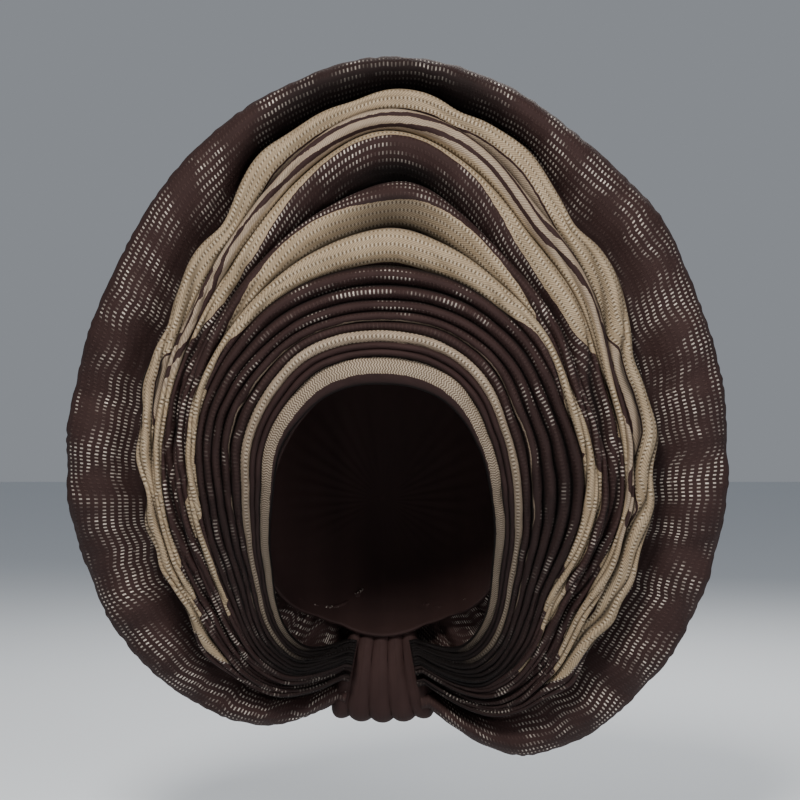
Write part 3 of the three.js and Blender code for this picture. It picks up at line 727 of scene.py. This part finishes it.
class Nodes:
    """Short calls to add and join the nodes of a material."""

    def __init__(self, material):
        self.tree = material.node_tree
        self.tree.nodes.clear()

    def add(self, kind, **values):
        """A new node with its values set."""
        node = self.tree.nodes.new(kind)
        for name, value in values.items():
            setattr(node, name, value)
        return node

    def link(self, source, target):
        """Joins an output to an input."""
        self.tree.links.new(source, target)

    def set(self, socket, value):
        """Joins an output to an input, or gives the input a plain value."""
        if hasattr(value, "is_output"):
            self.link(value, socket)
        else:
            socket.default_value = value

    def math(self, operation, a, b=0.0, c=0.0):
        """One step of arithmetic."""
        node = self.add("ShaderNodeMath", operation=operation)
        for socket, value in zip(node.inputs, (a, b, c)):
            self.set(socket, value)
        return node.outputs[0]

    def plus(self, a, b):
        """a plus b."""
        return self.math("ADD", a, b)

    def minus(self, a, b):
        """a minus b."""
        return self.math("SUBTRACT", a, b)

    def most(self, a, b):
        """The larger of a and b."""
        return self.math("MAXIMUM", a, b)

    def times(self, *values):
        """The product of all values."""
        product = values[0]
        for value in values[1:]:
            product = self.math("MULTIPLY", product, value)
        return product

    def wave(self, value, pitch):
        """A sine with one wave in each pitch."""
        return self.math("SINE", self.times(value, 2 * math.pi / pitch))

    def from_middle(self, value):
        """How far a value's fraction lies from a half."""
        return self.math("ABSOLUTE", self.minus(self.math("FRACT", value), 0.5))

    def step(self, value, low, high):
        """0 below low, 1 above high, smooth between."""
        node = self.add("ShaderNodeMapRange", interpolation_type="SMOOTHSTEP")
        for socket, given in zip(node.inputs, (value, low, high, 0.0, 1.0)):
            self.set(socket, given)
        return node.outputs[0]

    def blend(self, share, a, b):
        """A colour from a to b as the share goes from 0 to 1."""
        node = self.add("ShaderNodeMix", data_type="RGBA")
        for name, value in (("Factor_Float", share), ("A_Color", a), ("B_Color", b)):
            socket = next(s for s in node.inputs if s.identifier == name)
            self.set(socket, value)
        return next(s for s in node.outputs if s.identifier == "Result_Color")

    def noise(self, vector, scale, detail=2.0):
        """Soft noise from 0 to 1."""
        node = self.add("ShaderNodeTexNoise")
        self.link(vector, node.inputs["Vector"])
        node.inputs["Scale"].default_value = scale
        node.inputs["Detail"].default_value = detail
        return node.outputs["Fac"]


def cloth_bands(n, uv, v):
    """How much cream, how many dashes and which figure there is, from a ramp over v.

    Noise moves v a little, so that a band's edge strays as hand-woven threads do.
    """
    stray = n.times(n.minus(n.noise(uv, 260.0), 0.5), STRAY)
    ramp = n.add("ShaderNodeValToRGB")
    ramp.color_ramp.interpolation = "CONSTANT"
    stops = ramp.color_ramp.elements
    while len(stops) > 1:
        stops.remove(stops[-1])
    for i, (start, kind) in enumerate(BANDS):
        stop = stops[0] if i == 0 else stops.new(start / 1000 / CLOTH_WIDTH)
        stop.position = start / 1000 / CLOTH_WIDTH
        stop.color = (*KINDS[kind], 1)
    n.link(n.math("DIVIDE", n.plus(v, stray), CLOTH_WIDTH), ramp.inputs[0])
    bands = n.add("ShaderNodeSeparateColor")
    n.link(ramp.outputs[0], bands.inputs[0])
    return bands.outputs


def glint_brightness(n, column, row):
    """The painted glint's brightness, from 0.35 to 1 for each cell of the weave, at random."""
    cell = n.add("ShaderNodeCombineXYZ")
    n.link(n.math("FLOOR", column), cell.inputs[0])
    n.link(n.math("FLOOR", row), cell.inputs[1])
    chance = n.add("ShaderNodeTexWhiteNoise", noise_dimensions="2D")
    n.link(cell.outputs[0], chance.inputs["Vector"])
    return n.plus(n.times(chance.outputs[0], 0.65), 0.35)


def lit_patches(n, uv, dashes, shade):
    """Where the dashes get a painted glint: patches of noise, more of them where a crest has a
    painted gleam.
    """
    gleam = n.most(n.times(shade, -GLEAM_LIGHT), 0.0)
    patches = n.plus(n.noise(uv, 42.0, 2.0), gleam)
    needed = n.minus(1.32, n.times(dashes, 0.82))
    return n.step(patches, n.minus(needed, 0.08), n.plus(needed, 0.14))


def cream_figures(n, column, from_column, from_row, figure):
    """The dark holes and the pale dashes between them, in rows or in chevrons."""
    dotted = n.times(n.step(figure, 0.2, 0.3), n.step(figure, 0.8, 0.7))
    hole = n.times(n.step(from_column, 0.24, 0.06), n.step(from_row, 0.24, 0.1), dotted, 0.8)
    shine = n.times(n.step(from_column, 0.28, 0.36), n.step(from_row, 0.24, 0.16), dotted)
    zigzag = n.from_middle(n.plus(n.times(column, 1.5), n.times(from_row, 1.3)))
    chevrons = n.step(figure, 0.8, 0.9)
    hole = n.most(hole, n.times(n.step(zigzag, 0.22, 0.12), chevrons, 0.75))
    shine = n.most(shine, n.times(n.step(zigzag, 0.34, 0.42), chevrons))
    return hole, shine


def woven_cloth():
    """The hand-woven cloth. Its UV map is in metres: u along the stripes, v across them.

    A ramp over v gives each band its ground and figure. A cell of the weave is one dash pitch by
    one row pitch: a metallic dash on the dark ground, bright with a painted glint in lit patches and
    dim elsewhere, a dark hole between two pale dashes on the cream one. Painted shade from the
    shade attribute darkens the colour.
    """
    material = bpy.data.materials.new("woven_cloth")
    material.use_nodes = True
    n = Nodes(material)
    uv = n.add("ShaderNodeUVMap", uv_map="cloth").outputs["UV"]
    split = n.add("ShaderNodeSeparateXYZ")
    n.link(uv, split.inputs[0])
    u, v = split.outputs[:2]
    shade = n.add("ShaderNodeAttribute", attribute_name="shade").outputs["Fac"]
    cream, dashes, figure = cloth_bands(n, uv, v)

    # The cells of the weave
    column = n.math("DIVIDE", u, DASH_PITCH)
    fine = n.math("GREATER_THAN", v, FINE_FROM)
    row = n.times(v, n.plus(1 / ROW_PITCH, n.times(fine, 1 / FINE_PITCH - 1 / ROW_PITCH)))
    from_column = n.from_middle(column)
    from_row = n.from_middle(row)
    in_dash = n.times(n.step(from_column, 0.24, 0.13), n.step(from_row, 0.27, 0.17),
                      n.step(dashes, 0.3, 0.5))
    lit = lit_patches(n, uv, dashes, shade)
    glint = n.times(in_dash, lit, glint_brightness(n, column, row))
    hole, shine = cream_figures(n, column, from_column, from_row, figure)
    weave = n.plus(n.times(n.wave(u, THREAD), n.wave(v, THREAD), 0.5), 0.5)
    twill = n.step(n.wave(n.plus(n.times(u, 0.7), v), TWILL_PITCH), -0.3, 0.7)

    # The grounds, and what lies on them
    mottle = n.noise(uv, 55.0, 4.0)
    dark = n.blend(mottle, *DARK_GROUND)
    dark = n.blend(n.times(weave, 0.5), dark, BETWEEN_THREADS)
    dark = n.blend(n.times(in_dash, n.times(dashes, 0.12)), dark, UNLIT_DASH)
    warm = n.times(n.step(figure, 0.2, 0.3), n.minus(1.0, fine))
    pale = n.blend(warm, n.blend(mottle, *SILVER_GROUND), n.blend(mottle, *CREAM_GROUND))
    pale = n.blend(n.times(twill, 0.55), pale, TWILL_LINE)
    pale = n.blend(hole, pale, HOLE)
    pale = n.blend(n.times(shine, 0.3), pale, PALE_DASH)
    colour = n.blend(cream, dark, pale)
    # Painted glints on the dashes
    colour = n.blend(glint, colour, LIT_DASH)
    # Painted shade, from the shade attribute
    colour = n.blend(shade, colour, IN_THE_DARK)

    # The relief of the threads, and the finish
    height = n.plus(n.times(weave, 0.35), n.plus(in_dash, n.times(shine, 0.5)))
    height = n.minus(height, n.plus(hole, n.times(twill, cream, 0.3)))
    bump = n.add("ShaderNodeBump")
    bump.inputs["Distance"].default_value = 0.0004
    bump.inputs["Strength"].default_value = 0.7
    n.link(height, bump.inputs["Height"])
    shader = n.add("ShaderNodeBsdfPrincipled")
    n.link(colour, shader.inputs["Base Color"])
    n.link(n.times(n.plus(glint, n.times(shine, 0.4)), 0.6), shader.inputs["Metallic"])
    rough = n.minus(n.minus(0.75, n.times(cream, 0.15)), n.times(glint, 0.4))
    n.link(rough, shader.inputs["Roughness"])
    n.link(bump.outputs[0], shader.inputs["Normal"])
    shader.inputs["Specular IOR Level"].default_value = 0.15
    output = n.add("ShaderNodeOutputMaterial")
    n.link(shader.outputs[0], output.inputs[0])
    return material


# The view: the picture is square, and its middle lies this far from the origin, right and up
PICTURE_MIDDLE = (0.0105, -0.050)
CAMERA_AWAY = 1.3
VIEW_WIDTH = 0.496
SENSOR = 36
# Lamps: place, diameter, power and colour
LAMPS = {
    "key": ((-0.25, -1.15, 0.95), 0.4, 29, (1.0, 0.975, 0.94)),
    "fill": ((0.9, -1.1, 0.2), 0.6, 8, (0.96, 0.98, 1.0)),
    "back": ((0.3, 1.0, 0.9), 0.8, 14, (1.0, 0.98, 0.95)),
}
LAMPS_AIM = (0.0, 0.0, -0.05)
SURROUNDINGS = (0.62, 0.66, 0.72, 1)
SURROUNDINGS_STRENGTH = 0.4
FLOOR_Z = -0.335
FLOOR_REACH = 6.0
FLOOR_COLOUR = (0.74, 0.77, 0.8, 1)


def camera():
    """The camera, level and straight in front of the picture's middle."""
    data = bpy.data.cameras.new("camera")
    data.sensor_width = SENSOR
    data.lens = SENSOR * CAMERA_AWAY / VIEW_WIDTH
    data.clip_end = 20
    eye = bpy.data.objects.new("camera", data)
    eye.location = (PICTURE_MIDDLE[0], -CAMERA_AWAY, PICTURE_MIDDLE[1])
    eye.rotation_euler = (math.pi / 2, 0, 0)
    bpy.context.scene.collection.objects.link(eye)
    bpy.context.scene.camera = eye


def lamp(name, place_at, size, power, colour):
    """A round soft lamp that looks at LAMPS_AIM."""
    data = bpy.data.lights.new(name, "AREA")
    data.shape = "DISK"
    data.size = size
    data.energy = power
    data.color = colour
    light = bpy.data.objects.new(name, data)
    light.location = place_at
    away = np.array(LAMPS_AIM) - np.array(place_at)
    flat = math.hypot(away[0], away[1])
    light.rotation_euler = (math.atan2(flat, -away[2]), 0, math.atan2(-away[0], away[1]))
    bpy.context.scene.collection.objects.link(light)


def lights():
    """The lamps, and even light from all around."""
    for name, values in LAMPS.items():
        lamp(name, *values)
    world = bpy.data.worlds.new("world")
    world.use_nodes = True
    background = world.node_tree.nodes["Background"]
    background.inputs[0].default_value = SURROUNDINGS
    background.inputs[1].default_value = SURROUNDINGS_STRENGTH
    bpy.context.scene.world = world


def studio():
    """A wide pale floor."""
    ends = np.array([-FLOOR_REACH, FLOOR_REACH])
    x, y = np.meshgrid(ends, ends, indexing="ij")
    points = np.stack([x, y, np.full((2, 2), FLOOR_Z)], -1)
    floor = grid_object("studio_floor", points, points[..., :2])
    material = bpy.data.materials.new("pale_floor")
    material.use_nodes = True
    shader = material.node_tree.nodes["Principled BSDF"]
    shader.inputs["Base Color"].default_value = FLOOR_COLOUR
    shader.inputs["Roughness"].default_value = 0.9
    floor.data.materials.append(material)


camera()
lights()
studio()
CLOTH_MATERIAL = woven_cloth()
make_crown()
for fold_index in range(len(NAMES)):
    make_fold(fold_index)
make_brim()
make_knot()

bpy.context.view_layer.update()
